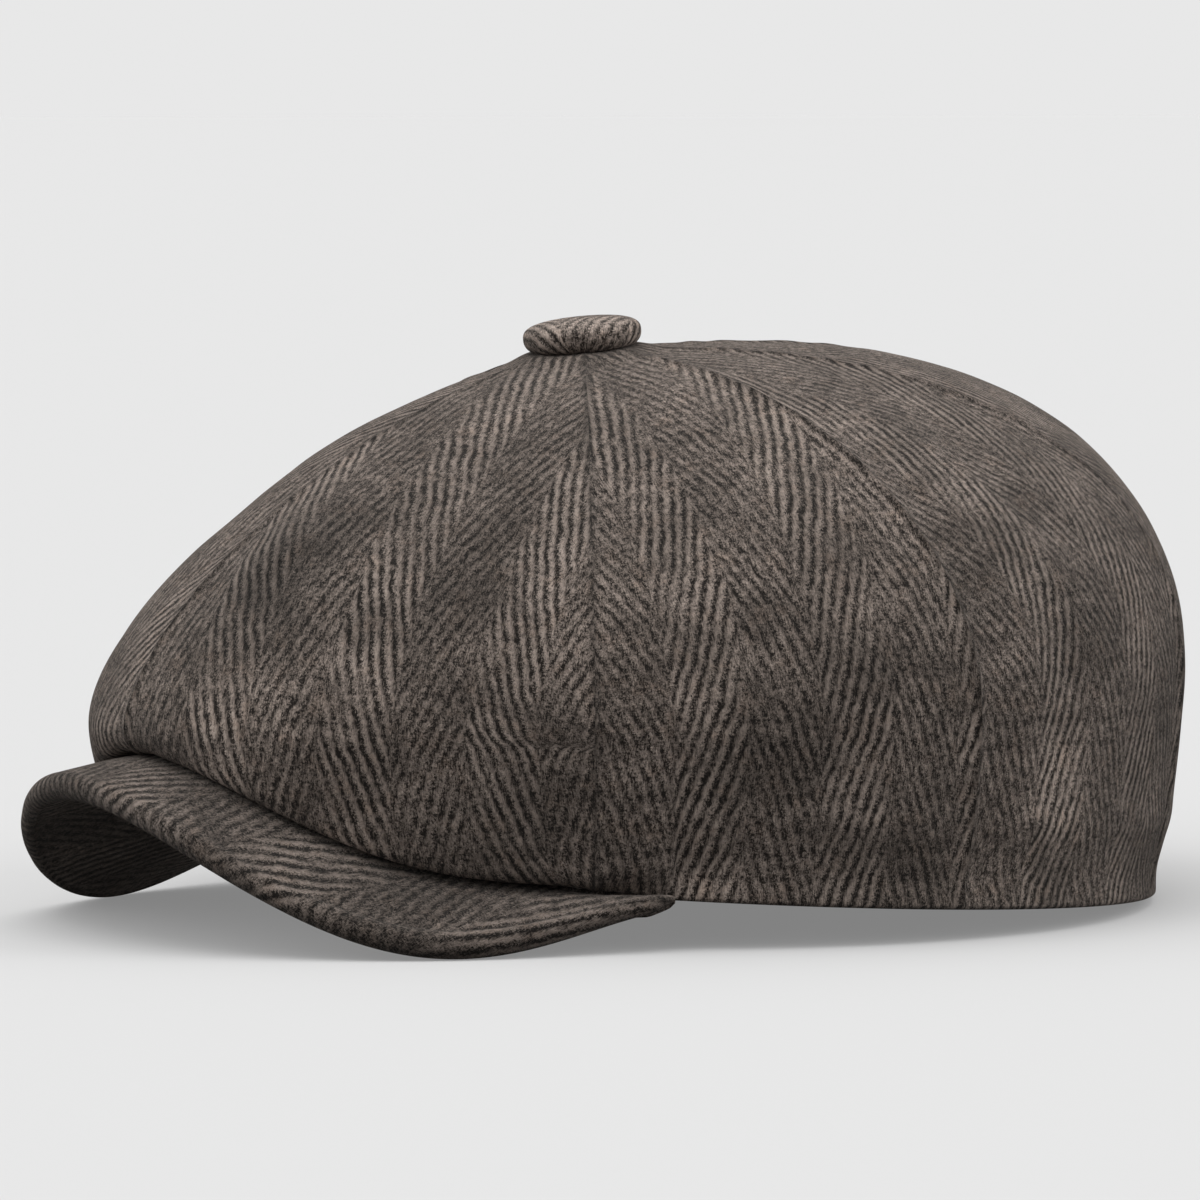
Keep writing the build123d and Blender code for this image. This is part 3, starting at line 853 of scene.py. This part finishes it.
def care_label():
    """A blank woven label that hangs from its top edge, a little bowed and curled at its foot."""
    across = np.linspace(-1, 1, 41)
    down = np.linspace(0, 1, 61)
    wide, drop = np.meshgrid(across, down)
    back_wall = axis_y + full_reach(180) - crown_cloth - 0.9 - label_gap
    bow = 0.5 * (1 - wide ** 2) * np.sin(np.pi * drop) + 0.25 * drop ** 2 * (1 + 0.4 * wide)
    aside, height = wide * label_width / 2, label_height * (1 - drop)
    front = np.stack([aside, back_wall - bow, label_lift + height], -1)
    uv = np.stack([aside, height], -1)
    cloth_piece("care_label", front, uv, label_cloth, flat=(label_width, label_height))


care_label()


# ---------------------------------------------------------------- button

apex = np.array([0.0, axis_y, crown_height + button_lift])
button_up = np.array([0.0, -sind(button_tilt), cosd(button_tilt)])
button_side = np.array([1.0, 0.0, 0.0])
button_front = np.cross(button_up, button_side)
COVER_CLOTH = 1.0         # between the two faces of the button's cover
GATHERS = 22
BUTTON_GRAIN = 56         # how far the stripes are turned on the button
# painted light: how much lighter the button's wool is than the crown's
BUTTON_PAINTED_LIGHT = 1.5


def about_button(angles, reach, lift):
    """Points round the button's own tilted axis, from the apex up."""
    round_it = (np.cos(angles)[None, :, None] * button_side
                + np.sin(angles)[None, :, None] * button_front)
    return apex + reach[..., None] * round_it + lift[..., None] * button_up


def button_profile(inset):
    """Reach and height of the cover: over the dome, round its edge and in under it."""
    radius, top, edge = button_radius - inset, button_height - inset, button_edge - inset
    dome, turn = np.linspace(np.pi / 2, 0, 30), np.linspace(0, np.pi / 2, 12)[1:]
    r = np.concatenate([radius * np.cos(dome) ** (2 / button_squareness),
                        button_radius - button_edge + edge * np.cos(turn),
                        np.linspace(button_radius - button_edge, 5.0, 8)[1:]])
    rise = np.sin(dome) ** (2 / button_squareness)
    z = np.concatenate([button_edge + (top - button_edge) * rise,
                        button_edge - edge * np.sin(turn), np.full(7, inset)])
    return r, z


def button_cover():
    """Cloth drawn over a shell and gathered in under its edge."""
    (r, z), (inner_r, inner_z) = button_profile(0.0), button_profile(COVER_CLOTH)
    angles = np.linspace(0, 2 * np.pi, 97)
    gathers = np.sin(angles * GATHERS)[None]
    under = np.clip((np.arange(len(r)) - 38) / 8, 0, 1)[:, None]
    reach = np.concatenate([r[:, None] * (1 + 0.015 * under * gathers),
                            inner_r[::-1, None] + 0 * gathers])
    lift = np.concatenate([z[:, None] + 0.25 * under * (1 + gathers),
                           inner_z[::-1, None] + 0 * gathers])
    points = about_button(angles, reach, lift)
    down = arc_along(points, 0)
    grain = angles - np.radians(BUTTON_GRAIN)
    uv = np.stack([down * np.cos(grain) - 3.0, down * np.sin(grain)], -1)
    across = 2 * down[len(r) - 1].max()
    # painted light over the whole button
    shade = np.full(points.shape[:2], BUTTON_PAINTED_LIGHT)
    cloth_piece("button_cover", points, uv, wool, shade=shade, flat=(across, across), layers=2)


def apex_facing():
    """A round of lining cloth under the crown's top, a little dished, over the button's anchor."""
    r = np.linspace(1.6, facing_radius - 0.2, 14)
    angles = np.linspace(0, 2 * np.pi, 73)
    sag = 0.25 * (r / facing_radius) ** 2
    reach = np.concatenate([r, r[::-1]])[:, None] + 0 * angles
    lift = np.concatenate([-facing_depth + sag + 0.35, (-facing_depth + sag + 0.05)[::-1]])
    points = about_button(angles, reach, lift[:, None])
    uv = reach[..., None] * np.stack([np.cos(angles), np.sin(angles)], -1)
    cloth_piece("apex_facing", points, uv, lining_satin,
                flat=(2 * facing_radius, 2 * facing_radius), layers=2)


button_cover()
apex_facing()

for node, material in {"button_shell": steel, "button_back_plate": steel, "button_anchor": steel,
                       "button_shank": thread}.items():
    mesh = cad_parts[node].data
    mesh.materials.clear()
    mesh.materials.append(material)


# ---------------------------------------------------------------- floor, light and camera

FLOOR_TONE, FLOOR_HALF = 0.455, 40     # half its side is in metres
# Height, from 0 below to 1 above, and brightness
SKY_STOPS = ((0.40, 0.05), (0.54, 0.19), (0.95, 0.92))
# Azimuth, elevation, strength and spread
LAMPS = {"left": (-12, 38, 0.9, 70), "right": (145, 24, 0.85, 45), "top": (40, 74, 0.97, 50)}
WHITE = 0.806            # linear value of the plain pale ground
FLOOR_GLOW = 0.22        # the part of it that no shadow darkens

floor_mesh = bpy.data.meshes.new("floor")
corners = [(-FLOOR_HALF, -FLOOR_HALF, 0), (FLOOR_HALF, -FLOOR_HALF, 0),
           (FLOOR_HALF, FLOOR_HALF, 0), (-FLOOR_HALF, FLOOR_HALF, 0)]
floor_mesh.from_pydata(corners, [], [(0, 1, 2, 3)])
floor = bpy.data.objects.new("floor", floor_mesh)
floor.location.z = cad_box[0].z
floor.visible_diffuse = False
bpy.context.collection.objects.link(floor)
ground = Shader("pale_floor")
ground.surface.inputs["Emission Color"].default_value = (1, 1, 1, 1)
floor_mesh.materials.append(ground.finish((FLOOR_TONE, FLOOR_TONE, FLOOR_TONE, 1), 1.0,
                                          Specular_IOR_Level=0.0, Emission_Strength=FLOOR_GLOW))

world = bpy.data.worlds.new("studio")
world.use_nodes = True
bpy.context.scene.world = world
sky = world.node_tree
lit = sky.nodes["Background"]
direction = sky.nodes.new("ShaderNodeTexCoord").outputs["Generated"]
upright = sky.nodes.new("ShaderNodeSeparateXYZ")
sky.links.new(direction, upright.inputs[0])
level = sky.nodes.new("ShaderNodeValToRGB")
halved = sky.nodes.new("ShaderNodeMath")
halved.operation = "MULTIPLY_ADD"
halved.inputs[1].default_value = halved.inputs[2].default_value = 0.5
sky.links.new(upright.outputs["Z"], halved.inputs[0])
sky.links.new(halved.outputs[0], level.inputs[0])
level.color_ramp.elements.new(0.5)
for stop, (position, grey) in zip(level.color_ramp.elements, SKY_STOPS):
    stop.position = position
    stop.color = (grey, grey, grey, 1)
sky.links.new(level.outputs[0], lit.inputs["Color"])
seen = sky.nodes.new("ShaderNodeBackground")
seen.inputs["Color"].default_value = (WHITE, WHITE, WHITE, 1)
camera_ray = sky.nodes.new("ShaderNodeLightPath").outputs["Is Camera Ray"]
choose = sky.nodes.new("ShaderNodeMixShader")
sky.links.new(camera_ray, choose.inputs[0])
sky.links.new(lit.outputs[0], choose.inputs[1])
sky.links.new(seen.outputs[0], choose.inputs[2])
sky.links.new(choose.outputs[0], sky.nodes["World Output"].inputs["Surface"])


def away_from_cap(azimuth, elevation):
    """The way from the cap to a lamp or to the camera."""
    return Vector((sind(azimuth) * cosd(elevation), -cosd(azimuth) * cosd(elevation),
                   sind(elevation)))


def soft_sun(name, azimuth, elevation, strength, spread_degrees):
    """A far soft light: azimuth as for the camera, strength in watts per square metre."""
    light = bpy.data.lights.new(name, "SUN")
    light.energy = strength
    light.angle = np.radians(spread_degrees)
    lamp = bpy.data.objects.new(name, light)
    lamp.rotation_mode = "QUATERNION"
    lamp.rotation_quaternion = away_from_cap(azimuth, elevation).to_track_quat("Z", "Y")
    bpy.context.collection.objects.link(lamp)


for lamp_name, lamp_settings in LAMPS.items():
    soft_sun(lamp_name, *lamp_settings)

pivot = Vector((0, 11.35, 52.8)) * MM
camera_azimuth, camera_elevation, camera_distance, camera_lens = 56.0, 4.24, 1.44, 219.2
aim_aside, aim_up = 9.35, 6.63      # where the photo's middle lies from the pivot
away = away_from_cap(camera_azimuth, camera_elevation)
rightwards = Vector((cosd(camera_azimuth), sind(camera_azimuth), 0))
aim = pivot - rightwards * aim_aside * MM + Vector((0, 0, aim_up)) * MM
camera_data = bpy.data.cameras.new("camera")
camera_data.lens = camera_lens
camera = bpy.data.objects.new("camera", camera_data)
camera.location = pivot + away * camera_distance
camera.rotation_mode = "QUATERNION"
camera.rotation_quaternion = (camera.location - aim).to_track_quat("Z", "Y")
bpy.context.collection.objects.link(camera)
bpy.context.scene.camera = camera
bpy.context.scene.view_settings.view_transform = "Standard"
